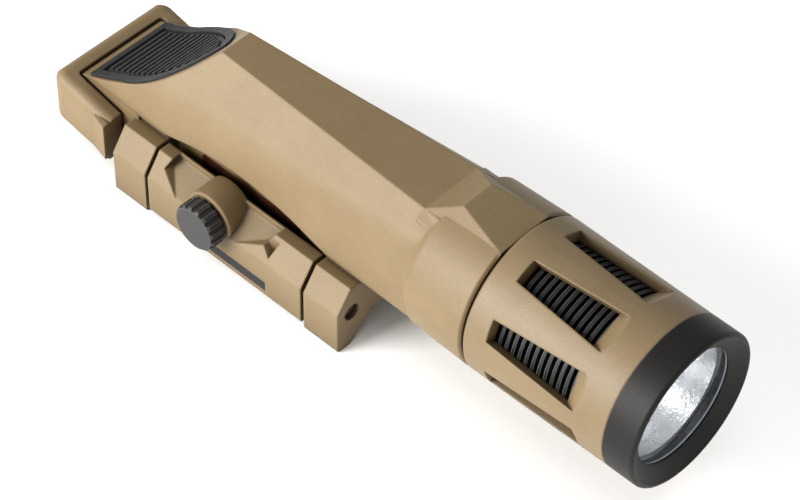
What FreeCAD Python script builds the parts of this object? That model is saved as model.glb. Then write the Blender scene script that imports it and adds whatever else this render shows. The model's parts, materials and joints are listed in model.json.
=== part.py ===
"""Rail-mounted tactical light: body, twist-off head, tail button, paddle lever and thumb-screw clamp.

Frame: origin at the centre of the rail seat, +X towards the lens, +Z up. Millimetres.
"""
import FreeCAD, Part
import math
import os

V = FreeCAD.Vector
ORIGIN = V(0, 0, 0)
ALONG_X = V(1, 0, 0)
ALONG_Y = V(0, 1, 0)
ALONG_Z = V(0, 0, 1)

# Overall layout
AXIS_HEIGHT = 22.2          # optical axis above the rail seat
SEAM_X = 61.9               # front end of the body, where the head begins
HEAD_LENGTH = 41.0          # from the seam to the bezel's front face
TAIL_X = -47.1              # rear end of the body
SEAM_GAP = 0.4              # open line between head and body
RUNNING = 0.05              # radial clearance of a pin, screw or neck in its hole
CLEAR = 0.3                 # clearance between pieces that pass each other

# Body outline, half widths and heights above the optical axis
RIDGE_X = -12.8
RIDGE_HALF = 3.8
RIDGE_RISE = 13.3
SHOULDER_X = 43.7
SHOULDER_HALF = 7.2
SHOULDER_RISE = 14.4
SIDE_HALF_REAR = 11.5
SIDE_HALF_FRONT = 12.2
SIDE_RISE_REAR = 2.7
SIDE_RISE_FRONT = 9.1
BODY_DROP = 13.4            # underside below the axis
BODY_EDGE = 4.0             # rounding of the underside's corners
BODY_FLANK = 8.0            # rounding between the slanted and the upright side
COLLAR_LENGTH = 13.9        # round part behind the seam
COLLAR_RADIUS = 16.4
COLLAR_RAMP = 6.0           # length of the slope from the sides up to the collar
COLLAR_CREST_X = 50.2       # highest line of the collar
COLLAR_CREST_RISE = 17.3
COLLAR_CREST_HALF = 3.8
COLLAR_FRONT_RISE = 15.5    # collar's flat at the seam
COLLAR_UNDERSIDE = 15.6
COLLAR_FOOT_HALF = 9.4      # where the crest's flanks meet the barrel
COLLAR_FOOT_RISE = 12.6
FACET_OVERLAP = 2.0         # faceted part carried into the collar
TAIL_CORNER_DROP = 11.2     # rear end of the thumb slope below the axis
TAIL_SKIRT_BOTTOM = 2.0     # underside of the tail above the rail seat
SKIRT_STEP = 0.6            # tail's underside set in from the sides
SLOPE_SAG = 2.5             # hollow of the thumb slope
WIRE_WAY_RADIUS = 1.6
WIRE_WAY_DROP = 4.0         # passage for the switch leads, below the axis
WIRE_WAY_LENGTH = 9.0
RIM_EDGE = 0.5              # chamfer of the rims at the seam

# Cells, tube and tail contact
CELL_DIAMETER = 17.0
CELL_LENGTH = 34.5
CELL_NUB_RADIUS = 3.2
CELL_NUB_LENGTH = 1.0
CELL_FRONT_REACH = 2.1      # front cell's tip past the seam
TUBE_CLEARANCE = 0.25
TUBE_WALL = 0.85
NECK_WALL = 1.85
NECK_REACH = 7.1            # neck past the seam
NECK_FOOT = 5.0             # thick end of the tube inside the body
O_RING_SECTION = 0.7
TAIL_SPRING_LENGTH = 7.0
TAIL_SPRING_WIRE = 0.4
TAIL_SPRING_RADIUS = 5.0
TAIL_SPRING_TURNS = 3
TAIL_CONTACT_THICKNESS = 0.8

# Head
HEAD_REAR_RADIUS = 16.8
HEAD_FRONT_RADIUS = 16.5
HEAD_BORE = 14.6
HEAD_REAR_WALL = 4.4
VENT_COUNT = 8
VENT_REAR = 5.9             # vent's ends and its ramp, from the seam
VENT_FLOOR_END = 24.4
VENT_FRONT = 27.7
VENT_REAR_WIDTH = 5.1
VENT_FRONT_WIDTH = 8.2
FIN_RADIUS = 14.55
FIN_ROOT = 12.6
FIN_COUNT = 12
FIN_SHARE = 0.45            # part of the pitch that is metal
SINK_REAR = 4.8
SINK_LENGTH = 20.4
SOCKET_WALL = 1.2
SOCKET_DEPTH = 4.6          # driver's pocket past the neck's end
SINK_WEB = 6.0
SINK_CUP_RADIUS = 10.6
BEZEL_LENGTH = 7.0
BEZEL_ROUND = 0.8           # rounding of the bezel's outer rim
BEZEL_SKIRT = 4.2
BEZEL_SKIRT_RADIUS = 14.9
BEZEL_BORE = 13.65
BEZEL_OPENING = 12.4
BEZEL_LIP_DEPTH = 2.0
BEZEL_LIP_THICKNESS = 0.5
BEZEL_MOUTH = 15.2
LENS_RADIUS = 13.5
LENS_THICKNESS = 2.0
GASKET_THICKNESS = 0.3
REFLECTOR_LENGTH = 13.6
REFLECTOR_WALL = 0.8
REFLECTOR_HOLE = 3.0
REFLECTOR_RIM = 0.9
LED_BOARD_RADIUS = 8.0
LED_BOARD_THICKNESS = 1.6
LED_SIDE = 3.6
LED_THICKNESS = 0.7
CENTRING_RADIUS = 4.6
DRIVER_RADIUS = 9.0
DRIVER_THICKNESS = 1.2
DRIVER_LEDGE = 0.6          # depth of the recess that clears the leads' ends
DRIVER_EDGE = 1.0           # width of the ledge that the driver board lies on
RETAINER_THICKNESS = 0.8
RETAINER_RADIUS = 9.3
RETAINER_BORE = 7.6
CONTACT_RADIUS = 2.4
INSULATOR_RADIUS = 6.0
INSULATOR_THICKNESS = 1.4
INSULATOR_GAP = 2.0         # between the insulator and the driver board
LEAD_RADIUS = 0.5
LEAD_SPACING = 5.5          # leads' distance from the axis

# Clamp
CLAMP_LENGTH = 62.6
BLOCK_LENGTH = 9.1
JAW_GAP = 0.9
CLAMP_HALF = 17.3
CLAMP_KNEE = 4.6            # lower edge of the sloped facet, above the seat
CLAMP_TOP = 9.8
CLAMP_TOP_HALF = 13.7
BLOCK_BOTTOM = -5.9
JAW_BOTTOM = -4.9
WEB_HALF = 8.3
JAW_INNER = 10.95
RECESS_WALL = 0.5           # wall left behind the jaw's recesses
RECESS_TOP = 8.4            # recess floor at that wall, and at the jaw's face
RECESS_FOOT = 4.3
RAIL_TOP_HALF = 7.9         # half width of the seat between its bevels
RAIL_HALF = 10.75           # half width at the rail's widest line, with clearance
LIP_EDGE = 0.6              # chamfer of the fixed lip's tip
PIN_Y = -13.3
PIN_Z = 3.0
PIN_RADIUS = 1.9
PIN_RECESS = 0.9
PIN_DEPTH = 9.0             # pin inside the jaw
ARCH_RISE = 4.2             # relief of the body above the jaw
ARCH_BASE = 11.6
LUG_X = 15.0
LUG_WIDTH = 5.0
LUG_HEIGHT = 2.6
LUG_SEAT = 1.6

# Thumb screw
SCREW_X = -3.8
SCREW_Z = 6.0
SCREW_RADIUS = 2.0
BOSS_RADIUS = 5.8
KNOB_RADIUS = 5.2
KNOB_THICKNESS = 3.6
KNOB_GAP = 0.6
KNOB_LOBES = 16
LOBE_RADIUS = 0.72
INSERT_RADIUS = 3.4
COUNTERBORE = 3.3
COUNTERBORE_DEPTH = 1.2
PAD_RADIUS = 2.7
PAD_THICKNESS = 1.3
PLATE_THICKNESS = 0.5
PLATE_REACH = 3.6           # plate's top above the screw
PLATE_DROP = 4.0            # and its foot below it
PLATE_INSET = 0.5           # let into the web
LABEL_REAR = 4.0            # label plate's ends from the screw
LABEL_FRONT = 15.4
LABEL_DEPTH = 0.5
LABEL_FOOT = -3.3
LABEL_WIDTH = 2.4
PLATE_REAR = 10.5           # plate's ends from the screw
PLATE_FRONT = 16.0
TIP_RADIUS = 1.3

# Tail button, sizes along the thumb slope from its rear corner
BUTTON_START = 2.6
BUTTON_END = 38.0
BUTTON_HALF = 10.3
BUTTON_CHEEK = 13.0         # where the straight sides end
BUTTON_BORDER = 1.7
BUTTON_DEPTH = 2.3          # pocket below the hollow slope
BUTTON_PROUD = 0.5
BUTTON_TRAVEL = 0.8
FRAME_CLEARANCE = 0.05
SHIELD_TOP = 10.0           # height to which the button's outlines are drawn
PAD_GAP = 0.35
PAD_BODY = 1.3
RIB_COUNT = 15
RIB_HEIGHT = 0.45
PLUNGER_AT = 20.0
PLUNGER_RADIUS = 1.8
FLOOR_THICKNESS = 2.6
SPRING_WELL = 3.3
SPRING_WELL_DEPTH = 1.8
BUTTON_SPRING_WIRE = 0.3
CHAMBER_DEPTH = 3.6
CHAMBER_HALF = 6.0
CHAMBER_LENGTH = 13.0
BOARD_THICKNESS = 1.0
SWITCH_SIDE = 5.0
SWITCH_HEIGHT = 1.6

# Paddle lever
LEVER_HALF = 15.4
LEVER_THICKNESS = 3.9
LEVER_BACK = 4.4
LEVER_FRONT_X = -34.9
LEVER_TOP_REAR = 12.4
LEVER_TOP_FRONT = 8.8
LEVER_BOTTOM_REAR = 1.2
LEVER_BOTTOM_FRONT = -1.5
LEVER_PIVOT_X = -39.0
LEVER_PIVOT_Z = 7.2
LEVER_PIN_RADIUS = 1.2
LEVER_PIN_DEPTH = 2.0
LEVER_CORNER = 3.4
LEVER_INNER_CORNER = 0.8
LEVER_TOP_EDGE = 2.2        # rounding of the crossbar's top
LEVER_LEAN = 0.8            # crossbar's top and bottom edges, in front of its fullest line
LEVER_BULGE_TOP = 7.9
LEVER_BULGE_BOTTOM = 2.4
LEVER_SKIN = 0.9            # material outside the pivot's blind hole
LEVER_SPRING_RADIUS = 1.3
LEVER_SPRING_WIRE = 0.25
LEVER_SPRING_LENGTH = 4.6
LEVER_SPRING_TURNS = 4
LEVER_SPRING_SEAT = 1.4     # depth of the spring's seat in the crossbar
LEVER_SPRING_Z = 8.0
TAB_FLARE = 1.1
TAB_LENGTH = 4.2

BEZEL_FRONT_X = SEAM_X + HEAD_LENGTH
BEZEL_REAR_X = BEZEL_FRONT_X - BEZEL_LENGTH
TUBE_BORE = CELL_DIAMETER / 2 + TUBE_CLEARANCE
TUBE_RADIUS = TUBE_BORE + TUBE_WALL
NECK_RADIUS = TUBE_BORE + NECK_WALL
SOCKET_RADIUS = NECK_RADIUS + SOCKET_WALL
CELLS_FRONT_X = SEAM_X + CELL_FRONT_REACH
CELLS_REAR_X = CELLS_FRONT_X - 2 * CELL_LENGTH
BORE_REAR_X = CELLS_REAR_X - TAIL_SPRING_LENGTH - TAIL_CONTACT_THICKNESS
NECK_FRONT_X = SEAM_X + NECK_REACH
SINK_REAR_X = SEAM_X + SINK_REAR
SINK_FRONT_X = SINK_REAR_X + SINK_LENGTH
SOCKET_FLOOR_X = NECK_FRONT_X + SOCKET_DEPTH
DRIVER_REAR_X = SOCKET_FLOOR_X - DRIVER_LEDGE - DRIVER_THICKNESS
LED_SEAT_X = SOCKET_FLOOR_X + SINK_WEB
LED_TOP_X = LED_SEAT_X + LED_BOARD_THICKNESS
LENS_FRONT_X = BEZEL_FRONT_X - BEZEL_LIP_DEPTH - BEZEL_LIP_THICKNESS - GASKET_THICKNESS
LENS_REAR_X = LENS_FRONT_X - LENS_THICKNESS
REFLECTOR_REAR_X = LENS_REAR_X - REFLECTOR_LENGTH
CLAMP_FRONT_X = CLAMP_LENGTH / 2
BLOCK_INNER_X = CLAMP_FRONT_X - BLOCK_LENGTH
JAW_END_X = BLOCK_INNER_X - JAW_GAP
BODY_BOTTOM = AXIS_HEIGHT - BODY_DROP
TAIL_CORNER_Z = AXIS_HEIGHT - TAIL_CORNER_DROP
RIDGE_Z = AXIS_HEIGHT + RIDGE_RISE
SLOPE = math.atan2(RIDGE_Z - TAIL_CORNER_Z, RIDGE_X - TAIL_X)
SLOPE_LENGTH = math.hypot(RIDGE_Z - TAIL_CORNER_Z, RIDGE_X - TAIL_X)


def box(x0, x1, y0, y1, z0, z1):
    """Box between two corners."""
    return Part.makeBox(x1 - x0, y1 - y0, z1 - z0, V(x0, y0, z0))


def rod_x(radius, x0, x1, y=0.0, z=AXIS_HEIGHT):
    """Cylinder along X, on the optical axis unless told otherwise."""
    return Part.makeCylinder(radius, x1 - x0, V(x0, y, z), ALONG_X)


def ring_x(outer, inner, x0, x1):
    """Ring about the optical axis."""
    return rod_x(outer, x0, x1).cut(rod_x(inner, x0 - 1, x1 + 1))


def rod_y(radius, y0, y1, x, z):
    """Cylinder along Y."""
    return Part.makeCylinder(radius, y1 - y0, V(x, y0, z), ALONG_Y)


def turned_x(points):
    """Solid turned about the optical axis from an outline of (x, radius)."""
    wire = Part.makePolygon([V(x, 0, AXIS_HEIGHT + r) for x, r in points + points[:1]])
    return Part.Face(wire).revolve(V(0, 0, AXIS_HEIGHT), ALONG_X, 360)


def prism_x(points, x0, x1):
    """Outline of (y, z) extruded along X."""
    wire = Part.makePolygon([V(x0, y, z) for y, z in points + points[:1]])
    return Part.Face(wire).extrude(V(x1 - x0, 0, 0))


def prism_y(points, y0, y1):
    """Outline of (x, z) extruded along Y."""
    wire = Part.makePolygon([V(x, y0, z) for x, z in points + points[:1]])
    return Part.Face(wire).extrude(V(0, y1 - y0, 0))


def ruled(sections):
    """Straight-sided loft through outlines of points."""
    wires = [Part.makePolygon(points + points[:1]) for points in sections]
    return Part.makeLoft(wires, True, True)


def mirrored_y(shape):
    """Copy on the other side of the centre plane."""
    return shape.mirror(ORIGIN, ALONG_Y)


def softened(shape, radius, wanted):
    """Fillet of the edges that the test picks."""
    return shape.makeFillet(radius, [edge for edge in shape.Edges if wanted(edge)])


def coil(radius, wire, length, turns, base, direction):
    """Round-wire spring whose wire stays between its two end planes."""
    rise = length - 2 * wire
    helix = Part.makeHelix(rise / turns, rise, radius)
    section = Part.Wire(Part.makeCircle(wire, V(radius, 0, 0), ALONG_Y))
    spring = Part.Wire(helix.Edges).makePipeShell([section], True, True)
    spring.translate(V(0, 0, wire))
    spring.Placement = FreeCAD.Placement(base, FreeCAD.Rotation(ALONG_Z, direction)) * spring.Placement
    return spring


def on_slope(shape):
    """Place a shape made with X along the thumb slope and Z out of it."""
    turn = FreeCAD.Rotation(ALONG_Y, -math.degrees(SLOPE))
    placed = shape.copy()
    placed.Placement = FreeCAD.Placement(V(TAIL_X, 0, TAIL_CORNER_Z), turn) * placed.Placement
    return placed


def slope_sag(along):
    """Depth of the hollow thumb slope below its chord."""
    radius = SLOPE_LENGTH ** 2 / (8 * SLOPE_SAG) + SLOPE_SAG / 2
    middle = along - SLOPE_LENGTH / 2
    return math.sqrt(radius ** 2 - middle ** 2) - (radius - SLOPE_SAG)


def above_slope(offset, half=30.0, height=25.0):
    """Everything above the hollow slope, raised by an offset."""
    low = V(0, -half, offset)
    high = V(SLOPE_LENGTH, -half, offset)
    middle = V(SLOPE_LENGTH / 2, -half, offset - SLOPE_SAG)
    far = V(SLOPE_LENGTH, -half, height)
    near = V(-height, -half, height)
    back = V(-height, -half, offset)
    edges = [Part.Arc(low, middle, high).toShape(), Part.makeLine(high, far), Part.makeLine(far, near),
             Part.makeLine(near, back), Part.makeLine(back, low)]
    return Part.Face(Part.Wire(edges)).extrude(V(0, 2 * half, 0))


def shield(inset, low, high):
    """Shield outline on the slope: straight rear edge, cheeks and a rounded point in front."""
    start = BUTTON_START + inset
    half = BUTTON_HALF - inset
    end = BUTTON_END - 1.3 * inset
    bulge_x = BUTTON_CHEEK + 0.68 * (end - BUTTON_CHEEK)
    bulge_y = 0.74 * half
    corners = [V(start, -half, low), V(BUTTON_CHEEK, -half, low), V(end, 0, low),
               V(BUTTON_CHEEK, half, low), V(start, half, low)]
    edges = [Part.makeLine(corners[0], corners[1]),
             Part.Arc(corners[1], V(bulge_x, -bulge_y, low), corners[2]).toShape(),
             Part.Arc(corners[2], V(bulge_x, bulge_y, low), corners[3]).toShape(),
             Part.makeLine(corners[3], corners[4]), Part.makeLine(corners[4], corners[0])]
    return Part.Face(Part.Wire(edges)).extrude(V(0, 0, high - low))


def body_section(x):
    """Outline of the faceted body at one station."""
    share = (x - RIDGE_X) / (SHOULDER_X - RIDGE_X)
    top_half = RIDGE_HALF + share * (SHOULDER_HALF - RIDGE_HALF)
    top = AXIS_HEIGHT + RIDGE_RISE + share * (SHOULDER_RISE - RIDGE_RISE)
    side_half = SIDE_HALF_REAR + share * (SIDE_HALF_FRONT - SIDE_HALF_REAR)
    side = AXIS_HEIGHT + SIDE_RISE_REAR + share * (SIDE_RISE_FRONT - SIDE_RISE_REAR)
    right = [(top_half, top), (side_half, side), (side_half, BODY_BOTTOM)]
    return [V(x, y, z) for y, z in right] + [V(x, -y, z) for y, z in reversed(right)]


def collar():
    """Round front end of the body, with a crest on top and a short slope behind it."""
    rear = SEAM_X - COLLAR_LENGTH
    start = rear - COLLAR_RAMP
    barrel = turned_x([(start, 0), (start, SIDE_HALF_FRONT), (rear, COLLAR_RADIUS),
                       (SEAM_X - RIM_EDGE, HEAD_REAR_RADIUS), (SEAM_X, HEAD_REAR_RADIUS - RIM_EDGE), (SEAM_X, 0)])
    front_half = math.sqrt(HEAD_REAR_RADIUS ** 2 - COLLAR_FRONT_RISE ** 2)
    sections = [(SHOULDER_X, SHOULDER_HALF, SHOULDER_RISE), (COLLAR_CREST_X, COLLAR_CREST_HALF, COLLAR_CREST_RISE),
                (SEAM_X, front_half, COLLAR_FRONT_RISE)]
    foot = AXIS_HEIGHT + COLLAR_FOOT_RISE
    crest = ruled([[V(x, half, AXIS_HEIGHT + rise), V(x, COLLAR_FOOT_HALF, foot), V(x, -COLLAR_FOOT_HALF, foot),
                    V(x, -half, AXIS_HEIGHT + rise)] for x, half, rise in sections])
    top = AXIS_HEIGHT + COLLAR_FRONT_RISE
    wide = 2 * COLLAR_RADIUS
    flat = prism_y([(COLLAR_CREST_X, AXIS_HEIGHT + COLLAR_CREST_RISE), (SEAM_X, top), (SEAM_X + 1, top),
                    (SEAM_X + 1, top + wide), (COLLAR_CREST_X, top + wide)], -wide, wide)
    bottom = AXIS_HEIGHT - COLLAR_UNDERSIDE
    under = box(start, SEAM_X + 1, -wide, wide, bottom - wide, bottom)
    return barrel.fuse(crest).cut([flat, under])


def clamp_outline(bottom, inner):
    """Outside of the clamp on the -Y side, down to a bottom and in to a half width."""
    edge = 0.5
    return [(-inner, CLAMP_TOP), (-CLAMP_TOP_HALF, CLAMP_TOP), (-CLAMP_HALF, CLAMP_KNEE),
            (-CLAMP_HALF, bottom + edge), (-CLAMP_HALF + edge, bottom)]


def mount_base():
    """Web, end blocks and fixed jaw under the body."""
    root = AXIS_HEIGHT - TUBE_RADIUS
    web = box(-CLAMP_FRONT_X, CLAMP_FRONT_X, -WEB_HALF, WEB_HALF, 0, root)
    bevel_foot = RAIL_TOP_HALF - BLOCK_BOTTOM
    block = clamp_outline(BLOCK_BOTTOM, WEB_HALF - 1) + [(-bevel_foot, BLOCK_BOTTOM), (-RAIL_TOP_HALF, 0),
                                                         (-WEB_HALF + 1, 0)]
    hook = RAIL_HALF - RAIL_TOP_HALF
    tip = hook + RAIL_HALF + BLOCK_BOTTOM + LIP_EDGE
    fixed = clamp_outline(BLOCK_BOTTOM, WEB_HALF - 1) + [(-tip - LIP_EDGE, BLOCK_BOTTOM),
                                                         (-tip, BLOCK_BOTTOM + LIP_EDGE), (-RAIL_HALF, -hook),
                                                         (-RAIL_TOP_HALF, 0), (-WEB_HALF + 1, 0)]
    front = prism_x(block, BLOCK_INNER_X, CLAMP_FRONT_X)
    rear = prism_x(block, -CLAMP_FRONT_X, -BLOCK_INNER_X)
    far = mirrored_y(prism_x(fixed, -CLAMP_FRONT_X, CLAMP_FRONT_X))
    return web.fuse([front, rear, far])


def jaw_relief():
    """Space between the end blocks that the jaw swings in, with the arch above it."""
    end = BLOCK_INNER_X
    reach = 30.0
    pocket = box(-end, end, -reach, -WEB_HALF, BLOCK_BOTTOM - 1, ARCH_BASE)
    low = V(-end, -reach, ARCH_BASE)
    high = V(end, -reach, ARCH_BASE)
    crown = V(2.0, -reach, ARCH_BASE + ARCH_RISE)
    edges = [Part.Arc(low, crown, high).toShape(), Part.makeLine(high, low)]
    arch = Part.Face(Part.Wire(edges)).extrude(V(0, reach - WEB_HALF, 0))
    return pocket.fuse(arch)


def switch_stack():
    """Heights under the slope, in its own frame: pocket floor, chamber top and chamber floor."""
    floor = -(SLOPE_SAG + BUTTON_DEPTH)
    ceiling = floor - FLOOR_THICKNESS
    return floor, ceiling, ceiling - CHAMBER_DEPTH


def body_shell():
    """Moulded body with the mount in one piece."""
    faceted = ruled([body_section(TAIL_X), body_section(SEAM_X - COLLAR_LENGTH + FACET_OVERLAP)])
    faceted = softened(faceted, BODY_EDGE, lambda edge: edge.BoundBox.XLength > BODY_DROP
                       and edge.BoundBox.ZMax < BODY_BOTTOM + 0.1)
    faceted = softened(faceted, BODY_FLANK, lambda edge: edge.BoundBox.XLength > BODY_DROP
                       and AXIS_HEIGHT < edge.CenterOfMass.z < AXIS_HEIGHT + SIDE_RISE_FRONT
                       and abs(edge.CenterOfMass.y) > SIDE_HALF_REAR)
    skirt_half = SIDE_HALF_REAR - SKIRT_STEP
    skirt = box(TAIL_X, -CLAMP_FRONT_X + 1, -skirt_half, skirt_half, TAIL_SKIRT_BOTTOM, AXIS_HEIGHT - 6)
    solid = faceted.fuse([collar(), skirt, mount_base()])
    solid = solid.cut(on_slope(above_slope(0))).cut(jaw_relief())
    solid = solid.removeSplitter()
    solid = solid.cut(rod_x(TUBE_RADIUS, BORE_REAR_X, SEAM_X + 1))
    solid = solid.cut(rod_x(NECK_RADIUS, SEAM_X - NECK_FOOT, SEAM_X + 1))
    floor, ceiling, base = switch_stack()
    pocket = shield(-FRAME_CLEARANCE, floor, SHIELD_TOP).common(above_slope(-BUTTON_DEPTH))
    solid = solid.cut(on_slope(pocket))
    well = Part.makeCylinder(SPRING_WELL, SPRING_WELL_DEPTH + 1, V(PLUNGER_AT, 0, floor - SPRING_WELL_DEPTH))
    hole = Part.makeCylinder(PLUNGER_RADIUS + RUNNING, 12, V(PLUNGER_AT, 0, base + 1))
    half = CHAMBER_LENGTH / 2
    chamber = box(PLUNGER_AT - half, PLUNGER_AT + half, -CHAMBER_HALF, CHAMBER_HALF, base, ceiling)
    solid = solid.cut(on_slope(well.fuse([hole, chamber])))
    wire_way = rod_x(WIRE_WAY_RADIUS, BORE_REAR_X - WIRE_WAY_LENGTH, BORE_REAR_X + 0.5, 0, AXIS_HEIGHT - WIRE_WAY_DROP)
    pin_hole = rod_x(PIN_RADIUS, -CLAMP_FRONT_X - 1, CLAMP_FRONT_X + 1, PIN_Y, PIN_Z)
    lever_hole = rod_y(LEVER_PIN_RADIUS, -SIDE_HALF_REAR - 2, -SIDE_HALF_REAR + LEVER_PIN_DEPTH,
                       LEVER_PIVOT_X, LEVER_PIVOT_Z)
    slot = box(LUG_X - LUG_WIDTH / 2, LUG_X + LUG_WIDTH / 2, -RAIL_TOP_HALF, RAIL_TOP_HALF, -1, LUG_SEAT)
    plate = bearing_plate()
    return solid.cut([wire_way, pin_hole, lever_hole, mirrored_y(lever_hole), slot, plate, lever_spring_well()])


def battery_tube():
    """Aluminium tube with the neck that the head turns on."""
    groove = ring_x(NECK_RADIUS + 1, NECK_RADIUS - O_RING_SECTION, SEAM_X + 1.6, SEAM_X + 1.6 + 2 * O_RING_SECTION)
    outside = rod_x(TUBE_RADIUS, BORE_REAR_X, SEAM_X - 1).fuse(rod_x(NECK_RADIUS, SEAM_X - NECK_FOOT, NECK_FRONT_X))
    return outside.cut(rod_x(TUBE_BORE, BORE_REAR_X - 1, NECK_FRONT_X + 1)).cut(groove)


def neck_o_ring():
    """Seal in the neck's groove."""
    start = SEAM_X + 1.6
    ring = ring_x(NECK_RADIUS, NECK_RADIUS - O_RING_SECTION, start + 0.1, start + 2 * O_RING_SECTION - 0.1)
    return ring.makeFillet(0.2, ring.Edges)


def cell(front):
    """One cylindrical cell with its positive nub, front end at the given X."""
    case = rod_x(CELL_DIAMETER / 2, front - CELL_LENGTH, front - CELL_NUB_LENGTH)
    nub = rod_x(CELL_NUB_RADIUS, front - CELL_NUB_LENGTH - 1, front)
    return case.makeChamfer(0.6, case.Edges).fuse(nub)


def bearing_plate():
    """Bronze strip let into the web, that the screw presses on."""
    return box(SCREW_X - PLATE_REAR, SCREW_X + PLATE_FRONT, -WEB_HALF - PLATE_THICKNESS, -WEB_HALF + PLATE_INSET,
               SCREW_Z - PLATE_DROP, SCREW_Z + PLATE_REACH)


def recoil_lug():
    """Steel cross bar that fits a slot of the rail."""
    half = LUG_WIDTH / 2
    bar = box(LUG_X - half, LUG_X + half, -RAIL_TOP_HALF, RAIL_TOP_HALF, -LUG_HEIGHT, LUG_SEAT)
    return softened(bar, 0.5, lambda edge: edge.BoundBox.ZMax < -LUG_HEIGHT + 0.01)


def jaw():
    """Clamping jaw: hooked lower lip, recessed facets and a round boss for the screw."""
    hook = RAIL_HALF - RAIL_TOP_HALF
    outline = clamp_outline(JAW_BOTTOM, JAW_INNER) + [(-(hook + RAIL_HALF + JAW_BOTTOM), JAW_BOTTOM),
                                                      (-RAIL_HALF, -hook), (-JAW_INNER, -hook + 0.3)]
    solid = prism_x(outline, -JAW_END_X, JAW_END_X)
    wall = -JAW_INNER - RECESS_WALL
    wedge = prism_x([(wall, RECESS_TOP), (-CLAMP_HALF - 0.2, RECESS_FOOT), (-CLAMP_HALF - 4, CLAMP_TOP + 4),
                     (wall, CLAMP_TOP + 4)], -JAW_END_X, JAW_END_X)
    recess = prism_y([(SCREW_X - 13.4, CLAMP_TOP + 1), (SCREW_X - 14.7, 7.6), (SCREW_X - 9, 4.2), (SCREW_X + 7, 4.4),
                      (SCREW_X + 13.5, 7.1), (SCREW_X + 15.6, CLAMP_TOP + 1)], -30, 0)
    notch = prism_y([(SCREW_X + 15.6, CLAMP_TOP + 1), (SCREW_X + 13.5, 7.1), (SCREW_X + 15.7, 5.6),
                     (SCREW_X + 17.2, CLAMP_TOP + 1)], -30, -14.2)
    boss = rod_y(BOSS_RADIUS, -CLAMP_HALF, -JAW_INNER, SCREW_X, SCREW_Z)
    boss = softened(boss, 0.5, lambda edge: edge.BoundBox.YMax < -CLAMP_HALF + 0.01)
    solid = solid.cut(wedge.common(recess)).cut(notch).fuse(boss).removeSplitter()
    bore = rod_y(INSERT_RADIUS, -CLAMP_HALF + 1.2, 0, SCREW_X, SCREW_Z)
    mouth = rod_y(SCREW_RADIUS + CLEAR, -30, 0, SCREW_X, SCREW_Z)
    pin = rod_x(PIN_RADIUS + RUNNING, JAW_END_X - PIN_DEPTH, JAW_END_X + 1, PIN_Y, PIN_Z)
    other = rod_x(PIN_RADIUS + RUNNING, -JAW_END_X - 1, -JAW_END_X + PIN_DEPTH, PIN_Y, PIN_Z)
    return solid.cut([bore, mouth, pin, other, label_plate()])


def label_plate():
    """Blank plate let into the jaw's lower face."""
    return box(SCREW_X - LABEL_REAR, SCREW_X + LABEL_FRONT, -CLAMP_HALF, -CLAMP_HALF + LABEL_DEPTH,
               LABEL_FOOT, LABEL_FOOT + LABEL_WIDTH)


def jaw_pin(side):
    """Stub hinge pin, side +1 in the front block and -1 in the rear one."""
    outer = CLAMP_FRONT_X - PIN_RECESS
    inner = JAW_END_X - PIN_DEPTH + CLEAR
    pin = rod_x(PIN_RADIUS, inner, outer, PIN_Y, PIN_Z)
    pin = pin.makeChamfer(0.3, pin.Edges)
    return pin if side > 0 else pin.mirror(ORIGIN, ALONG_X)


def screw_insert():
    """Threaded brass insert in the jaw's boss, with its counterbore for the pad."""
    sleeve = rod_y(INSERT_RADIUS, -CLAMP_HALF + 1.2, -JAW_INNER, SCREW_X, SCREW_Z)
    room = rod_y(COUNTERBORE - 0.3, -JAW_INNER - COUNTERBORE_DEPTH - 0.4, 0, SCREW_X, SCREW_Z)
    return sleeve.cut(room).cut(rod_y(SCREW_RADIUS + RUNNING, -30, 0, SCREW_X, SCREW_Z))


def thumb_knob():
    """Lobed knob moulded on the screw's head."""
    rear = -CLAMP_HALF - KNOB_GAP
    face = rear - KNOB_THICKNESS
    disc = rod_y(KNOB_RADIUS, face, rear, SCREW_X, SCREW_Z)
    disc = disc.makeChamfer(0.45, [edge for edge in disc.Edges if edge.BoundBox.YMax < face + 0.01])
    for lobe in range(KNOB_LOBES):
        turn = 2 * math.pi * lobe / KNOB_LOBES
        x = SCREW_X + (KNOB_RADIUS + 0.25) * math.cos(turn)
        z = SCREW_Z + (KNOB_RADIUS + 0.25) * math.sin(turn)
        disc = disc.cut(rod_y(LOBE_RADIUS, face - 1, rear + 1, x, z))
    return disc.cut(rod_y(SCREW_RADIUS, rear - 2.4, rear + 1, SCREW_X, SCREW_Z))


def pad_back():
    """Rear face of the swivel pad at rest."""
    return -WEB_HALF - PLATE_THICKNESS - CLEAR - PAD_THICKNESS


def screw_shank():
    """Steel screw with a narrow tip in the swivel pad."""
    rear = -CLAMP_HALF - KNOB_GAP - 2.4
    shank = rod_y(SCREW_RADIUS, rear, pad_back() - 0.05, SCREW_X, SCREW_Z)
    tip = rod_y(TIP_RADIUS, pad_back() - 1, pad_back() + 0.7, SCREW_X, SCREW_Z)
    return shank.fuse(tip)


def swivel_pad():
    """Steel pad on the screw's tip, with a rounded pressing face."""
    disc = rod_y(PAD_RADIUS, pad_back(), pad_back() + PAD_THICKNESS, SCREW_X, SCREW_Z)
    disc = softened(disc, 0.6, lambda edge: edge.BoundBox.YMin > pad_back() + PAD_THICKNESS - 0.01)
    return disc.cut(rod_y(TIP_RADIUS + RUNNING, pad_back() - 1, pad_back() + 0.8, SCREW_X, SCREW_Z))


def button_frame():
    """Raised rubber border of the tail button, sealed into the body."""
    floor = switch_stack()[0]
    ring = shield(0, floor, SHIELD_TOP).cut(shield(BUTTON_BORDER, floor - 1, SHIELD_TOP + 1))
    return on_slope(ring.common(above_slope(-BUTTON_DEPTH)).cut(above_slope(BUTTON_PROUD)))


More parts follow.
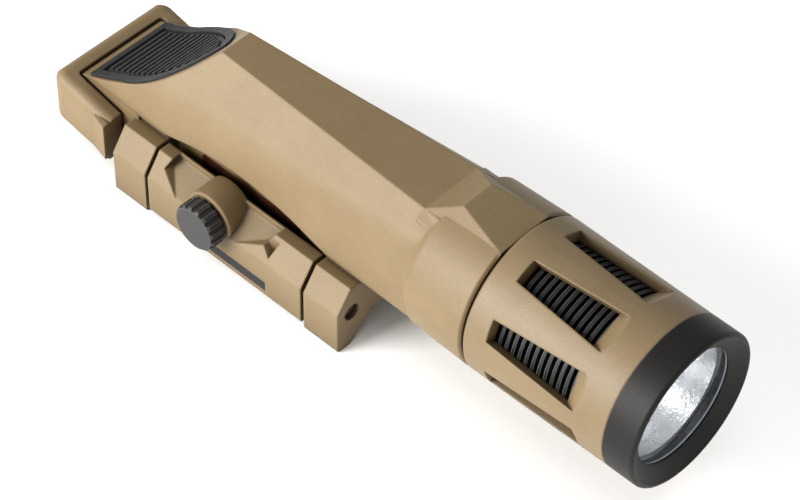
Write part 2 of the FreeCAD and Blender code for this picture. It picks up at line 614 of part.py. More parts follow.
def button_pad():
    """Ribbed pad that the thumb presses."""
    floor = switch_stack()[0]
    inset = BUTTON_BORDER + PAD_GAP
    pad = shield(inset, floor, SHIELD_TOP).common(above_slope(-PAD_BODY)).cut(above_slope(0))
    first = BUTTON_START + inset + 1.2
    pitch = (BUTTON_END - 1.3 * inset - 3.2 - first) / (RIB_COUNT - 1)
    cap = shield(inset + 0.8, floor, SHIELD_TOP).common(above_slope(-PAD_BODY)).cut(above_slope(RIB_HEIGHT))
    slots = [box(first + pitch * (rib - 0.75), first + pitch * (rib - 0.25), -12, 12,
                 -slope_sag(first + pitch * (rib - 0.5)) + 0.02, 12) for rib in range(RIB_COUNT + 1)]
    return on_slope(pad.fuse(cap.cut(slots)).removeSplitter())


def plunger_span():
    """Lower and upper end of the plunger in the slope's frame."""
    floor, ceiling, base = switch_stack()
    return base + BOARD_THICKNESS + SWITCH_HEIGHT + BUTTON_TRAVEL + 0.1, floor + BUTTON_DEPTH - PAD_BODY


def button_plunger():
    """Stem between the pad and the switch, flanged where the spring pushes it."""
    low, high = plunger_span()
    stem = Part.makeCylinder(PLUNGER_RADIUS, high - low, V(PLUNGER_AT, 0, low))
    flange = Part.makeCylinder(SPRING_WELL - 0.3, 0.5, V(PLUNGER_AT, 0, high - 0.5))
    return on_slope(stem.fuse(flange))


def button_spring():
    """Return spring round the plunger."""
    low = switch_stack()[0] - SPRING_WELL_DEPTH
    high = plunger_span()[1] - 0.5
    spring = coil(PLUNGER_RADIUS + 0.75, BUTTON_SPRING_WIRE, high - low, 2.5, V(PLUNGER_AT, 0, low), ALONG_Z)
    return on_slope(spring)


def switch_board():
    """Small circuit board on the chamber's floor."""
    base = switch_stack()[2]
    half = CHAMBER_LENGTH / 2
    wide = CHAMBER_HALF
    return on_slope(box(PLUNGER_AT - half, PLUNGER_AT + half, -wide, wide, base, base + BOARD_THICKNESS))


def tactile_switch():
    """Switch under the plunger."""
    base = switch_stack()[2] + BOARD_THICKNESS
    half = SWITCH_SIDE / 2
    case = box(PLUNGER_AT - half, PLUNGER_AT + half, -half, half, base, base + SWITCH_HEIGHT - 0.4)
    key = Part.makeCylinder(1.2, 0.5, V(PLUNGER_AT, 0, base + SWITCH_HEIGHT - 0.5))
    return on_slope(case.fuse(key))


def lever_spring_well():
    """Blind holes in the tail and in the crossbar that hold the lever's spring."""
    reach = LEVER_SPRING_LENGTH
    return rod_x(LEVER_SPRING_RADIUS + 0.4, TAIL_X - SEAM_GAP - LEVER_SPRING_SEAT,
                 TAIL_X - SEAM_GAP - LEVER_SPRING_SEAT + reach, 0, LEVER_SPRING_Z)


def lever_spring():
    """Return spring of the paddle lever."""
    start = V(TAIL_X - SEAM_GAP - LEVER_SPRING_SEAT, 0, LEVER_SPRING_Z)
    return coil(LEVER_SPRING_RADIUS, LEVER_SPRING_WIRE, LEVER_SPRING_LENGTH, LEVER_SPRING_TURNS, start, ALONG_X)


def paddle_lever():
    """U-shaped lever round the tail, flared into a tab at the end of each arm."""
    inner = LEVER_HALF - LEVER_THICKNESS
    back = TAIL_X - SEAM_GAP - LEVER_BACK
    crest = back + LEVER_LEAN
    profile = [(crest, LEVER_BOTTOM_REAR), (LEVER_FRONT_X, LEVER_BOTTOM_FRONT), (LEVER_FRONT_X, LEVER_TOP_FRONT),
               (crest, LEVER_TOP_REAR), (back, LEVER_BULGE_TOP), (back, LEVER_BULGE_BOTTOM)]
    plan = box(back, LEVER_FRONT_X, -LEVER_HALF, LEVER_HALF, -AXIS_HEIGHT, AXIS_HEIGHT)
    plan = softened(plan, LEVER_CORNER, lambda edge: edge.BoundBox.ZLength > AXIS_HEIGHT and edge.BoundBox.XMax < crest)
    outer = plan.common(prism_y(profile, -LEVER_HALF - 1, LEVER_HALF + 1))
    outer = softened(outer, LEVER_TOP_EDGE, lambda edge: edge.BoundBox.ZMin > LEVER_BULGE_TOP + 0.1
                     and edge.BoundBox.XMax < crest + LEVER_CORNER)
    tab = prism_x([(-LEVER_HALF + 0.5, LEVER_TOP_FRONT - 0.2), (-LEVER_HALF - TAB_FLARE, LEVER_TOP_FRONT - 0.6),
                   (-LEVER_HALF - TAB_FLARE, LEVER_BOTTOM_FRONT + 0.8), (-LEVER_HALF + 0.5, LEVER_BOTTOM_FRONT + 0.4)],
                  LEVER_FRONT_X - TAB_LENGTH, LEVER_FRONT_X)
    ramp = Part.makeBox(TAB_LENGTH * 2, 4, 40, V(-TAB_LENGTH * 2, -4, -20))
    ramp.rotate(ORIGIN, ALONG_Z, -math.degrees(math.atan2(TAB_FLARE, TAB_LENGTH)))
    ramp.translate(V(LEVER_FRONT_X, -LEVER_HALF - TAB_FLARE, 0))
    tab = tab.cut(ramp)
    room = box(TAIL_X - SEAM_GAP, LEVER_FRONT_X + 1, -inner, inner, -AXIS_HEIGHT, AXIS_HEIGHT)
    room = softened(room, LEVER_INNER_CORNER,
                    lambda edge: edge.BoundBox.ZLength > AXIS_HEIGHT and edge.BoundBox.XMax < LEVER_FRONT_X)
    solid = outer.fuse([tab, mirrored_y(tab)]).cut(room)
    hole = rod_y(LEVER_PIN_RADIUS + RUNNING, -LEVER_HALF + LEVER_SKIN, -inner + 1, LEVER_PIVOT_X, LEVER_PIVOT_Z)
    return solid.cut([hole, mirrored_y(hole), lever_spring_well()]).removeSplitter()


def lever_pins():
    """Two stub pins, pressed into the body's sides."""
    pin = rod_y(LEVER_PIN_RADIUS, -LEVER_HALF + LEVER_SKIN + CLEAR, -SIDE_HALF_REAR + LEVER_PIN_DEPTH,
                LEVER_PIVOT_X, LEVER_PIVOT_Z)
    return Part.makeCompound([pin, mirrored_y(pin)])


def head_shell():
    """Outer sleeve of the head with slanted cooling vents."""
    rear = SEAM_X + SEAM_GAP
    solid = turned_x([(rear, SOCKET_RADIUS), (rear, HEAD_REAR_RADIUS - RIM_EDGE), (rear + RIM_EDGE, HEAD_REAR_RADIUS),
                      (BEZEL_REAR_X, HEAD_FRONT_RADIUS), (BEZEL_REAR_X, BEZEL_SKIRT_RADIUS),
                      (BEZEL_REAR_X - BEZEL_SKIRT, BEZEL_SKIRT_RADIUS), (BEZEL_REAR_X - BEZEL_SKIRT, HEAD_BORE),
                      (rear + HEAD_REAR_WALL, HEAD_BORE), (rear + HEAD_REAR_WALL, SOCKET_RADIUS)])
    deep = HEAD_BORE - 1.0
    tall = HEAD_REAR_RADIUS + 2.0
    x0 = SEAM_X + VENT_REAR
    x1 = SEAM_X + VENT_FLOOR_END
    x2 = SEAM_X + VENT_FRONT
    side = [(x0 + 0.5, deep), (x1, deep), (x1, HEAD_BORE), (x2, HEAD_FRONT_RADIUS),
            (x2 + 1.2, tall), (x0 - 0.6, tall)]
    slab = prism_y([(x, AXIS_HEIGHT + r) for x, r in side], -8, 8)
    plan = [V(x0 - 2, -VENT_REAR_WIDTH / 2 + 0.2, 0), V(x2 + 2, -VENT_FRONT_WIDTH / 2 - 0.2, 0),
            V(x2 + 2, VENT_FRONT_WIDTH / 2 + 0.2, 0), V(x0 - 2, VENT_REAR_WIDTH / 2 - 0.2, 0)]
    column = Part.Face(Part.makePolygon(plan + plan[:1])).extrude(V(0, 0, 60))
    vent = slab.common(column)
    tools = []
    for number in range(VENT_COUNT):
        tool = vent.copy()
        tool.rotate(V(0, 0, AXIS_HEIGHT), ALONG_X, 360 * (number + 0.5) / VENT_COUNT)
        tools.append(tool)
    return solid.cut(tools)


def heat_sink():
    """Finned aluminium core: neck socket behind, LED seat and reflector cup in front."""
    body = rod_x(SOCKET_RADIUS, SEAM_X + 2 * SEAM_GAP, SINK_REAR_X).fuse(rod_x(FIN_RADIUS, SINK_REAR_X, SINK_FRONT_X))
    body = body.cut(rod_x(NECK_RADIUS + RUNNING, SEAM_X, NECK_FRONT_X + CLEAR))
    body = body.cut(rod_x(RETAINER_RADIUS, NECK_FRONT_X, SOCKET_FLOOR_X - DRIVER_LEDGE))
    body = body.cut(rod_x(DRIVER_RADIUS - DRIVER_EDGE, NECK_FRONT_X, SOCKET_FLOOR_X))
    body = body.cut(rod_x(SINK_CUP_RADIUS, LED_SEAT_X, SINK_FRONT_X + 1))
    pitch = SINK_LENGTH / (FIN_COUNT + 1)
    grooves = []
    for fin in range(FIN_COUNT):
        start = SINK_REAR_X + pitch * (fin + 0.8)
        grooves.append(ring_x(FIN_RADIUS + 1, FIN_ROOT, start, start + pitch * (1 - FIN_SHARE)))
    leads = [rod_x(LEAD_RADIUS + CLEAR, SOCKET_FLOOR_X - 1, LED_SEAT_X + 1, y) for y in (-LEAD_SPACING, LEAD_SPACING)]
    return body.cut(grooves + leads)


def bezel_ring():
    """Black front ring that holds the lens."""
    lip = BEZEL_FRONT_X - BEZEL_LIP_DEPTH
    seat = lip - BEZEL_LIP_THICKNESS
    front = BEZEL_FRONT_X
    steps = 6
    turns = [math.pi / 2 * step / steps for step in range(steps + 1)]
    rim = [(front - BEZEL_ROUND * (1 - math.sin(turn)), HEAD_FRONT_RADIUS - BEZEL_ROUND * (1 - math.cos(turn)))
           for turn in turns]
    return turned_x([(BEZEL_REAR_X - BEZEL_SKIRT, BEZEL_BORE), (BEZEL_REAR_X - BEZEL_SKIRT, BEZEL_SKIRT_RADIUS),
                     (BEZEL_REAR_X, BEZEL_SKIRT_RADIUS), (BEZEL_REAR_X, HEAD_FRONT_RADIUS)] + rim
                    + [(front, BEZEL_MOUTH + 0.4), (front - 0.3, BEZEL_MOUTH), (lip, BEZEL_OPENING),
                       (seat, BEZEL_OPENING), (seat, BEZEL_BORE)])


def lens():
    """Glass disc with bevelled rims."""
    disc = rod_x(LENS_RADIUS, LENS_REAR_X, LENS_FRONT_X)
    return disc.makeChamfer(0.3, disc.Edges)


def reflector_radius(x):
    """Inner radius of the parabola at a station."""
    front = BEZEL_OPENING - 0.1
    depth = LENS_REAR_X - REFLECTOR_REAR_X
    focus = (front ** 2 - REFLECTOR_HOLE ** 2) / (4 * depth)
    return math.sqrt(REFLECTOR_HOLE ** 2 + 4 * focus * (x - REFLECTOR_REAR_X))


def reflector():
    """Polished parabolic cup with a rim behind the lens."""
    steps = 16
    stations = [REFLECTOR_REAR_X + REFLECTOR_LENGTH * (step / steps) ** 1.6 for step in range(steps + 1)]
    inside = [V(x, 0, AXIS_HEIGHT + reflector_radius(x)) for x in stations]
    landing_x = max(x for x in stations if x <= LENS_REAR_X - REFLECTOR_RIM)
    outside = [point + V(0, 0, REFLECTOR_WALL) for point in inside if point.x <= landing_x]
    bowl = Part.BSplineCurve()
    bowl.interpolate(inside)
    back = Part.BSplineCurve()
    back.interpolate(outside)
    corner = V(LENS_REAR_X, 0, AXIS_HEIGHT + LENS_RADIUS)
    landing = V(landing_x, 0, AXIS_HEIGHT + LENS_RADIUS)
    edges = [bowl.toShape(), Part.makeLine(inside[-1], corner), Part.makeLine(corner, landing),
             Part.makeLine(landing, outside[-1]), back.toShape(), Part.makeLine(outside[0], inside[0])]
    return Part.Face(Part.Wire(Part.__sortEdges__(edges))).revolve(V(0, 0, AXIS_HEIGHT), ALONG_X, 360)


def led_emitter():
    """Square package with a low dome."""
    half = LED_SIDE / 2
    package = box(LED_TOP_X, LED_TOP_X + LED_THICKNESS, -half, half, AXIS_HEIGHT - half, AXIS_HEIGHT + half)
    dome_radius = 1.5
    dome = Part.makeSphere(dome_radius, V(LED_TOP_X + LED_THICKNESS - 0.6, 0, AXIS_HEIGHT))
    dome = dome.common(box(LED_TOP_X + 0.3, LED_TOP_X + 5, -5, 5, AXIS_HEIGHT - 5, AXIS_HEIGHT + 5))
    return package.fuse(dome)


def led_centring_ring():
    """White plastic ring that centres the reflector on the LED."""
    ring = ring_x(CENTRING_RADIUS, 1, LED_TOP_X, REFLECTOR_REAR_X)
    half = LED_SIDE / 2 + 0.05
    return ring.cut(box(LED_TOP_X - 1, REFLECTOR_REAR_X + 1, -half, half, AXIS_HEIGHT - half, AXIS_HEIGHT + half))


def driver_parts():
    """Inductor, chips and capacitors on the driver board."""
    x = DRIVER_REAR_X
    sizes = [(-3.5, 3.2, 3.0, 1.6), (3.8, 3.0, 2.4, 1.1), (3.6, -3.6, 3.4, 1.4), (-4.0, -3.4, 1.8, 0.9), (0, 6.3, 1.6, 0.8)]
    pieces = []
    for y, z, side, height in sizes:
        half = side / 2
        pieces.append(box(x - height, x, y - half, y + half, AXIS_HEIGHT + z - half, AXIS_HEIGHT + z + half))
    return Part.makeCompound(pieces)


def led_leads():
    """Two insulated leads from the driver to the LED board."""
    start = DRIVER_REAR_X + DRIVER_THICKNESS
    return Part.makeCompound([rod_x(LEAD_RADIUS, start, LED_SEAT_X, y) for y in (-LEAD_SPACING, LEAD_SPACING)])


def nodes():
    """Every piece by its node name."""
    insulator_front = DRIVER_REAR_X - INSULATOR_GAP
    lens_seat = BEZEL_FRONT_X - BEZEL_LIP_DEPTH - BEZEL_LIP_THICKNESS
    tail_base = V(BORE_REAR_X + TAIL_CONTACT_THICKNESS, 0, AXIS_HEIGHT)
    return {
        "body_shell": body_shell(),
        "battery_tube": battery_tube(),
        "neck_o_ring": neck_o_ring(),
        "cell_front": cell(CELLS_FRONT_X),
        "cell_rear": cell(CELLS_FRONT_X - CELL_LENGTH),
        "tail_spring": coil(TAIL_SPRING_RADIUS, TAIL_SPRING_WIRE, TAIL_SPRING_LENGTH, TAIL_SPRING_TURNS,
                            tail_base, ALONG_X),
        "tail_contact": rod_x(TUBE_BORE - 0.2, BORE_REAR_X, BORE_REAR_X + TAIL_CONTACT_THICKNESS),
        "switch_board": switch_board(),
        "tactile_switch": tactile_switch(),
        "button_frame": button_frame(),
        "button_pad": button_pad(),
        "button_plunger": button_plunger(),
        "button_spring": button_spring(),
        "paddle_lever": paddle_lever(),
        "lever_pins": lever_pins(),
        "lever_spring": lever_spring(),
        "movable_jaw": jaw(),
        "jaw_pin_front": jaw_pin(1),
        "jaw_pin_rear": jaw_pin(-1),
        "screw_insert": screw_insert(),
        "thumb_knob": thumb_knob(),
        "screw_shank": screw_shank(),
        "swivel_pad": swivel_pad(),
        "bearing_plate": bearing_plate(),
        "recoil_lug": recoil_lug(),
        "label_plate": label_plate(),
        "head_shell": head_shell(),
        "heat_sink": heat_sink(),
        "bezel_ring": bezel_ring(),
        "lens": lens(),
        "lens_gasket": ring_x(LENS_RADIUS, BEZEL_OPENING + 0.1, LENS_FRONT_X, lens_seat),
        "reflector": reflector(),
        "led_board": rod_x(LED_BOARD_RADIUS, LED_SEAT_X, LED_TOP_X),
        "led_emitter": led_emitter(),
        "led_centring_ring": led_centring_ring(),
        "driver_board": rod_x(DRIVER_RADIUS, DRIVER_REAR_X, DRIVER_REAR_X + DRIVER_THICKNESS),
        "driver_retainer": ring_x(RETAINER_RADIUS, RETAINER_BORE, DRIVER_REAR_X - RETAINER_THICKNESS, DRIVER_REAR_X),
        "driver_parts": driver_parts(),
        "led_leads": led_leads(),
        "head_contact": rod_x(CONTACT_RADIUS, CELLS_FRONT_X, DRIVER_REAR_X),
        "contact_insulator": ring_x(INSULATOR_RADIUS, CONTACT_RADIUS, insulator_front - INSULATOR_THICKNESS,
                                    insulator_front),
    }


def main():
    os.makedirs("parts", exist_ok=True)
    for name, shape in nodes().items():
        kinds = {solid.isValid() for solid in shape.Solids}
        print(f"{name:18s} solids {len(shape.Solids)} volume {shape.Volume:10.2f} valid {kinds == {True}}")
        shape.exportStep(os.path.join("parts", name + ".step"))


main()
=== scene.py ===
"""Looks of the rail-mounted tactical flashlight: materials, camera, floor and light."""
import json

import bpy
from mathutils import Matrix, Vector


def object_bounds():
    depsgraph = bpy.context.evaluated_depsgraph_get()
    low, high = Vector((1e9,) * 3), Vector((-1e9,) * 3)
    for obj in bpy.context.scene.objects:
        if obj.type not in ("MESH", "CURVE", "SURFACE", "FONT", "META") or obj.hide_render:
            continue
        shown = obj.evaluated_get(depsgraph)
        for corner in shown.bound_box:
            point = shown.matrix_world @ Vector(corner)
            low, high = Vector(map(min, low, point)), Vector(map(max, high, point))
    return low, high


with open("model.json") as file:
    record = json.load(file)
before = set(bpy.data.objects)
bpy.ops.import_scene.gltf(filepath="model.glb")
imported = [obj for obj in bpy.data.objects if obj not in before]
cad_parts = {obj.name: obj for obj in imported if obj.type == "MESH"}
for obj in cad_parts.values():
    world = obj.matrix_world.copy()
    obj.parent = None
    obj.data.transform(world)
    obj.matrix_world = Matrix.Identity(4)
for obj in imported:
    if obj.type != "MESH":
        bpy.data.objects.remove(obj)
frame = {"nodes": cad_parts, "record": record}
cad_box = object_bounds()
MM = 0.001


# ---------------------------------------------------------------- materials
class Paint:
    """A node material with one Principled shader, in the object's own coordinates (metres)."""

    bevel = None

    def __init__(self, name, colour, rough=0.5, metal=0.0, specular=0.5):
        self.material = bpy.data.materials.new(name)
        self.material.use_nodes = True
        tree = self.material.node_tree
        tree.nodes.clear()
        self.nodes, self.links = tree.nodes, tree.links
        self.output = self.nodes.new("ShaderNodeOutputMaterial")
        self.shader = self.nodes.new("ShaderNodeBsdfPrincipled")
        self.links.new(self.shader.outputs["BSDF"], self.output.inputs["Surface"])
        self.place = self.nodes.new("ShaderNodeTexCoord")
        self.put("Base Color", (*colour, 1))
        self.put("Roughness", rough)
        self.put("Metallic", metal)
        self.put("Specular IOR Level", specular)

    def put(self, socket, value):
        self.shader.inputs[socket].default_value = value

    def join(self, source, target):
        self.links.new(source, target)

    def noise(self, scale, detail=3.0, rough=0.6, stretch=None):
        """Noise value with a scale in cycles per metre, stretched along axes if told to."""
        node = self.nodes.new("ShaderNodeTexNoise")
        node.inputs["Scale"].default_value = scale
        node.inputs["Detail"].default_value = detail
        node.inputs["Roughness"].default_value = rough
        source = self.place.outputs["Object"]
        if stretch:
            mapping = self.nodes.new("ShaderNodeMapping")
            mapping.inputs["Scale"].default_value = stretch
            self.join(source, mapping.inputs["Vector"])
            source = mapping.outputs["Vector"]
        self.join(source, node.inputs["Vector"])
        return node.outputs["Fac"]

    def ramp(self, source, low, high, start=0.0, end=1.0):
        """Straight remap of a value."""
        node = self.nodes.new("ShaderNodeMapRange")
        node.inputs["From Min"].default_value = start
        node.inputs["From Max"].default_value = end
        node.inputs["To Min"].default_value = low
        node.inputs["To Max"].default_value = high
        self.join(source, node.inputs["Value"])
        return node.outputs["Result"]

    def maths(self, kind, first, second):
        node = self.nodes.new("ShaderNodeMath")
        node.operation = kind
        for socket, value in zip(node.inputs, (first, second)):
            if isinstance(value, (int, float)):
                socket.default_value = value
            else:
                self.join(value, socket)
        return node.outputs[0]

    def mix(self, factor, first, second):
        """Colour mix; either colour may be a socket or three numbers."""
        node = self.nodes.new("ShaderNodeMix")
        node.data_type = "RGBA"
        self.join(factor, node.inputs["Factor"])
        for socket, value in ((node.inputs[6], first), (node.inputs[7], second)):
            if isinstance(value, tuple):
                socket.default_value = (*value, 1)
            else:
                self.join(value, socket)
        return node.outputs[2]

    def edge(self, radius, softness=0.35):
        """Mask of outer edges and creases, from how far a rounded normal leans away."""
        bevel = self.nodes.new("ShaderNodeBevel")
        bevel.samples = 6
        bevel.inputs["Radius"].default_value = radius
        surface = self.nodes.new("ShaderNodeNewGeometry")
        dot = self.nodes.new("ShaderNodeVectorMath")
        dot.operation = "DOT_PRODUCT"
        self.join(bevel.outputs["Normal"], dot.inputs[0])
        self.join(surface.outputs["Normal"], dot.inputs[1])
        self.bevel = bevel
        return self.ramp(dot.outputs["Value"], 1.0, 0.0, 1.0 - softness, 0.995)

    def shade(self, distance):
        """Openness of the surroundings: 0 in a seam, 1 in the open."""
        node = self.nodes.new("ShaderNodeAmbientOcclusion")
        node.samples = 6
        node.inputs["Distance"].default_value = distance
        return node.outputs["AO"]

    def bump(self, height, distance, strength=1.0):
        """Bump from a height, on top of the rounded normal if there is one."""
        node = self.nodes.new("ShaderNodeBump")
        node.inputs["Distance"].default_value = distance
        node.inputs["Strength"].default_value = strength
        self.join(height, node.inputs["Height"])
        if self.bevel:
            self.join(self.bevel.outputs["Normal"], node.inputs["Normal"])
        self.join(node.outputs["Normal"], self.shader.inputs["Normal"])

    def paint(self, colour):
        self.join(colour, self.shader.inputs["Base Color"])

    def gloss(self, rough):
        self.join(rough, self.shader.inputs["Roughness"])


def tan_finish(name, base, light, dark, rough):
    """Fine-grained tan moulding or coating: speckle, clouding, pale edges from wear and a painted
    highlight, golden painted shade in recesses, painted shade in seams.
    """
    paint = Paint(name, base, rough, specular=0.45)
    # Darker, more saturated tan used as painted shade and bounce light in recesses.
    painted_shade_tone = (base[0] * 0.50, base[1] * 0.46, base[2] * 0.36)
    cloud = paint.ramp(paint.noise(90, 2.0), 0.0, 1.0, 0.35, 0.65)
    speckle = paint.noise(4200, 1.0, 0.5)
    pale = paint.ramp(speckle, 0.0, 0.55, 0.60, 0.74)
    deep = paint.ramp(speckle, 0.55, 0.0, 0.26, 0.40)
    colour = paint.mix(paint.ramp(cloud, 0.0, 0.35), base, light)
    colour = paint.mix(pale, colour, light)
    colour = paint.mix(deep, colour, dark)
    # Painted shade: broad occlusion darkens and tints the tan in recesses and next to nearby parts.
    painted_hollow_shade = paint.ramp(paint.shade(12 * MM), 0.92, 0.0, 0.34, 0.95)
    colour = paint.mix(painted_hollow_shade, colour, painted_shade_tone)
    # Pale edges: partly wear, partly a painted highlight along the moulded edges.
    wear_and_edge_highlight = paint.maths("MULTIPLY", paint.edge(0.6 * MM), paint.ramp(paint.noise(700, 3.0), 0.15, 0.55))
    colour = paint.mix(wear_and_edge_highlight, colour, tuple(min(1.0, channel * 1.35) for channel in light))
    # Painted shade: narrow occlusion darkens the tan in seams and creases.
    seam_shade = paint.ramp(paint.shade(1.6 * MM), 0.75, 0.0, 0.25, 0.75)
    colour = paint.mix(seam_shade, colour, tuple(channel * 0.28 for channel in dark))
    paint.paint(colour)
    grain = paint.noise(5200, 2.0, 0.6)
    paint.gloss(paint.ramp(grain, rough - 0.10, rough + 0.12, 0.3, 0.7))
    paint.bump(grain, 0.03 * MM, 0.55)
    return paint.material


def black_finish(name, base, rough, rub_and_highlight_colour, lines=0.0):
    """Black anodised or moulded surface with edges lightened by wear and a painted highlight, and turning
    lines if asked for.
    """
    paint = Paint(name, base, rough, specular=0.22)
    patch = paint.ramp(paint.noise(350, 4.0), 0.45, 1.0, 0.35, 0.7)
    # Lighter edges: partly rubbed wear, partly a painted rim highlight.
    edge_rub_and_highlight = paint.maths("MULTIPLY", paint.edge(0.25 * MM), patch)
    colour = paint.mix(paint.ramp(paint.noise(2600, 2.0), 0.0, 0.5), base, tuple(c * 1.9 for c in base))
    paint.paint(paint.mix(edge_rub_and_highlight, colour, rub_and_highlight_colour))
    paint.gloss(paint.ramp(paint.noise(1500, 3.0), rough - 0.02, rough + 0.04, 0.3, 0.7))
    if lines:
        rings = paint.noise(240, 2.0, 0.7, stretch=(30.0, 0.4, 0.4))
        paint.bump(rings, 0.02 * MM, lines)
    else:
        paint.bump(paint.noise(4000, 2.0), 0.02 * MM, 0.5)
    return paint.material


def metal_finish(name, base, rough, dark, axis=None):
    """Turned or drawn metal with a fine grain, smudges and painted shade in creases."""
    paint = Paint(name, base, rough, metal=1.0)
    smudge = paint.ramp(paint.noise(500, 4.0), 0.0, 0.6, 0.4, 0.75)
    colour = paint.mix(smudge, base, dark)
    # Painted shade: narrow occlusion darkens creases.
    crease_shade = paint.ramp(paint.shade(1.0 * MM), 0.8, 0.0, 0.2, 0.7)
    paint.paint(paint.mix(crease_shade, colour, tuple(c * 0.3 for c in dark)))
    paint.gloss(paint.ramp(paint.noise(1800, 3.0), max(0.04, rough - 0.1), rough + 0.1, 0.3, 0.7))
    stretch = tuple(30.0 if index == axis else 1.0 for index in range(3)) if axis is not None else None
    paint.bump(paint.noise(300, 2.0, 0.6, stretch), 0.01 * MM, 0.5)
    return paint.material


def rubber_finish(name, base, rough):
    """Matt rubber with a dusty bloom and edges lightened as a painted highlight."""
    paint = Paint(name, base, rough, specular=0.28)
    bloom = paint.ramp(paint.noise(900, 4.0), 0.0, 0.6, 0.4, 0.7)
    colour = paint.mix(bloom, base, tuple(c * 1.7 for c in base))
    # Painted highlight: edges lightened as if they catch the light.
    paint.paint(paint.mix(paint.edge(0.3 * MM), colour, tuple(c * 2.6 for c in base)))
    paint.gloss(paint.ramp(paint.noise(2500, 2.0), rough - 0.1, rough + 0.15, 0.3, 0.7))
    paint.bump(paint.noise(3800, 2.0), 0.03 * MM, 0.5)
    return paint.material


def plain_finish(name, base, other, rough, metal=0.0):
    """Small inner piece: two close tones and a fine grain."""
    paint = Paint(name, base, rough, metal)
    paint.paint(paint.mix(paint.ramp(paint.noise(1500, 3.0), 0.0, 1.0, 0.35, 0.65), base, other))
    paint.bump(paint.noise(3000, 2.0), 0.01 * MM, 0.4)
    return paint.material


def reflector_finish():
    """Vapour-coated bowl: a soft mirror with a fine ripple that spreads the reflection."""
    paint = Paint("reflector_coat", (0.95, 0.95, 0.96), 0.30, metal=1.0)
    haze = paint.ramp(paint.noise(160, 3.0), 0.0, 1.0, 0.35, 0.7)
    paint.paint(paint.mix(haze, (0.97, 0.97, 0.98), (0.84, 0.85, 0.88)))
    paint.gloss(paint.ramp(paint.noise(300, 2.0), 0.22, 0.38, 0.3, 0.7))
    paint.bump(paint.noise(1500, 3.0, 0.6), 0.12 * MM, 0.9)
    return paint.material


def glass_finish():
    """Coated glass: clear straight through, with a faint bluish reflection and smudges."""
    paint = Paint("coated_glass", (0.9, 0.95, 1.0), 0.03)
    clear = paint.nodes.new("ShaderNodeBsdfTransparent")
    clear.inputs["Color"].default_value = (0.985, 0.992, 1.0, 1)
    gloss = paint.nodes.new("ShaderNodeBsdfGlossy")
    gloss.inputs["Color"].default_value = (0.93, 0.965, 1.0, 1)
    paint.join(paint.ramp(paint.noise(220, 4.0), 0.01, 0.07, 0.3, 0.75), gloss.inputs["Roughness"])
    blend = paint.nodes.new("ShaderNodeMixShader")
    blend.inputs["Fac"].default_value = 0.06
    paint.join(clear.outputs["BSDF"], blend.inputs[1])
    paint.join(gloss.outputs["BSDF"], blend.inputs[2])
    paint.join(blend.outputs["Shader"], paint.output.inputs["Surface"])
    return paint.material


TAN = (0.192, 0.132, 0.063)
TAN_LIGHT = (0.240, 0.175, 0.091)
TAN_DARK = (0.108, 0.068, 0.030)

looks = {
    "tan_polymer": tan_finish("tan_moulding", TAN, TAN_LIGHT, TAN_DARK, 0.55),
    "tan_coated_aluminium": tan_finish("tan_coating", (0.188, 0.131, 0.065), TAN_LIGHT, TAN_DARK, 0.50),
    "black_anodised": black_finish("bezel_black", (0.008, 0.0075, 0.007), 0.50, (0.22, 0.22, 0.22), 0.15),
    "sink_aluminium": black_finish("sink_black", (0.012, 0.012, 0.012), 0.38, (0.30, 0.31, 0.31)),
    "black_rubber": rubber_finish("button_rubber", (0.014, 0.0143, 0.015), 0.60),
    "black_plastic": black_finish("knob_black", (0.026, 0.026, 0.026), 0.40, (0.36, 0.35, 0.34)),
    "steel": metal_finish("turned_steel", (0.52, 0.51, 0.50), 0.28, (0.24, 0.22, 0.20), axis=1),
    "dark_steel": metal_finish("dark_steel", (0.10, 0.09, 0.085), 0.40, (0.05, 0.045, 0.04)),
    "spring_steel": metal_finish("spring_wire", (0.55, 0.55, 0.56), 0.25, (0.30, 0.29, 0.28)),
    "brass": metal_finish("brass", (0.70, 0.50, 0.22), 0.28, (0.38, 0.24, 0.09)),
    "bronze": metal_finish("oiled_bronze", (0.12, 0.040, 0.024), 0.50, (0.05, 0.016, 0.010)),
    "label_black": plain_finish("label_plate", (0.008, 0.008, 0.008), (0.014, 0.013, 0.012), 0.85),
    "tube_aluminium": metal_finish("bare_aluminium", (0.72, 0.72, 0.73), 0.30, (0.50, 0.50, 0.52), axis=0),
    "lens_glass": glass_finish(),
    "reflector_silver": reflector_finish(),
    "clear_gasket": plain_finish("gasket_clear", (0.50, 0.55, 0.60), (0.60, 0.65, 0.70), 0.25),
    "board_white": plain_finish("white_board", (0.70, 0.70, 0.68), (0.78, 0.78, 0.76), 0.35),
    "board_green": plain_finish("green_board", (0.02, 0.10, 0.04), (0.03, 0.14, 0.06), 0.30),
    "emitter": plain_finish("emitter_yellow", (0.85, 0.70, 0.12), (0.90, 0.80, 0.25), 0.25),
    "white_plastic": plain_finish("white_plastic", (0.72, 0.71, 0.68), (0.80, 0.79, 0.76), 0.45),
    "component_black": plain_finish("component_black", (0.02, 0.02, 0.022), (0.05, 0.05, 0.05), 0.45),
    "lead_red": plain_finish("lead_red", (0.50, 0.03, 0.02), (0.60, 0.05, 0.03), 0.35),
    "cell_wrap": plain_finish("cell_wrap", (0.02, 0.08, 0.22), (0.03, 0.11, 0.28), 0.30),
}
slot_of = {entry["node"]: entry["material_slot"] for entry in frame["record"]["subparts"]}
for node, thing in frame["nodes"].items():
    thing.data.materials.clear()
    thing.data.materials.append(looks[slot_of[node]])


# ---------------------------------------------------------------- floor, light and camera
REACH = 3  # half the floor's side, metres
floor_mesh = bpy.data.meshes.new("floor")
corners = [(-REACH, -REACH, 0), (REACH, -REACH, 0), (REACH, REACH, 0), (-REACH, REACH, 0)]
floor_mesh.from_pydata(corners, [], [(0, 1, 2, 3)])
floor = bpy.data.objects.new("floor", floor_mesh)
floor.location = (0, 0, cad_box[0][2])
bpy.context.scene.collection.objects.link(floor)
floor.data.materials.append(Paint("pale_floor", (0.94, 0.94, 0.935), 0.9, specular=0.1).material)


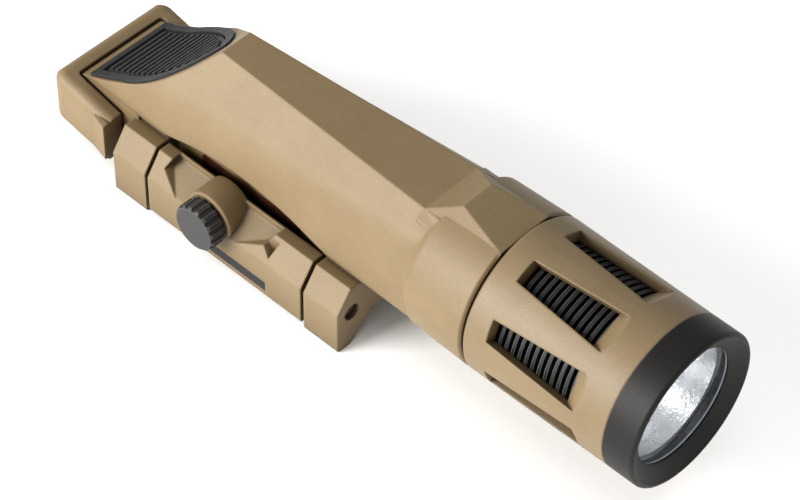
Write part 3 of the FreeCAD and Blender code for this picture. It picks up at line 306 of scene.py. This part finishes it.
def area_light(name, place, target, size, power, colour=(1, 1, 1)):
    """Square lamp at a place, turned towards a target."""
    lamp = bpy.data.lights.new(name, "AREA")
    lamp.size = size
    lamp.energy = power
    lamp.color = colour
    holder = bpy.data.objects.new(name, lamp)
    holder.location = place
    holder.rotation_euler = (Vector(target) - Vector(place)).to_track_quat("-Z", "Y").to_euler()
    bpy.context.scene.collection.objects.link(holder)
    return holder


def only_for(lamp, things, name):
    """Light that reaches only these objects."""
    group = bpy.data.collections.new(name)
    for thing in things:
        group.objects.link(thing)
    lamp.light_linking.receiver_collection = group


MIDDLE = (0.02, 0.0, 0.02)
MOUTH = (0.095, 0.0, 0.022)
area_light("key", (-0.38, -0.80, 0.40), MIDDLE, 0.55, 17.5, (1.0, 0.985, 0.96))
BOWL = ("reflector", "led_board", "led_emitter", "led_centring_ring")
bowl_light = area_light("bowl_light", (0.50, -0.20, 0.30), MOUTH, 0.25, 1.15)
only_for(bowl_light, [frame["nodes"][node] for node in BOWL], "bowl_light_receivers")
floor_sun = bpy.data.lights.new("floor_light", "SUN")
floor_sun.energy = 1.5
floor_sun.angle = 1.0
floor_light = bpy.data.objects.new("floor_light", floor_sun)
bpy.context.scene.collection.objects.link(floor_light)
only_for(floor_light, [floor], "floor_light_receivers")
floor_light.light_linking.blocker_collection = bpy.data.collections.new("floor_light_blockers")

world = bpy.data.worlds.new("studio")
world.use_nodes = True
background = world.node_tree.nodes["Background"]
background.inputs["Color"].default_value = (1.0, 1.0, 1.0, 1)
background.inputs["Strength"].default_value = 0.50
bpy.context.scene.world = world

lens = bpy.data.cameras.new("photo_camera")
lens.sensor_fit = "HORIZONTAL"
lens.sensor_width = 36.0
lens.lens = 137.9
lens.clip_start = 0.01
camera = bpy.data.objects.new("photo_camera", lens)
back = Vector((0.458, -0.493, 0.739)).normalized()
level = Vector((0.723, 0.691, 0.013))
right = (level - level.dot(back) * back).normalized()
up = back.cross(right)
turn = Matrix((right, up, back)).transposed().to_4x4()
camera.matrix_world = Matrix.Translation((0.3000, -0.2894, 0.4438)) @ turn
bpy.context.scene.collection.objects.link(camera)
bpy.context.scene.camera = camera
bpy.context.scene.view_settings.view_transform = "Standard"
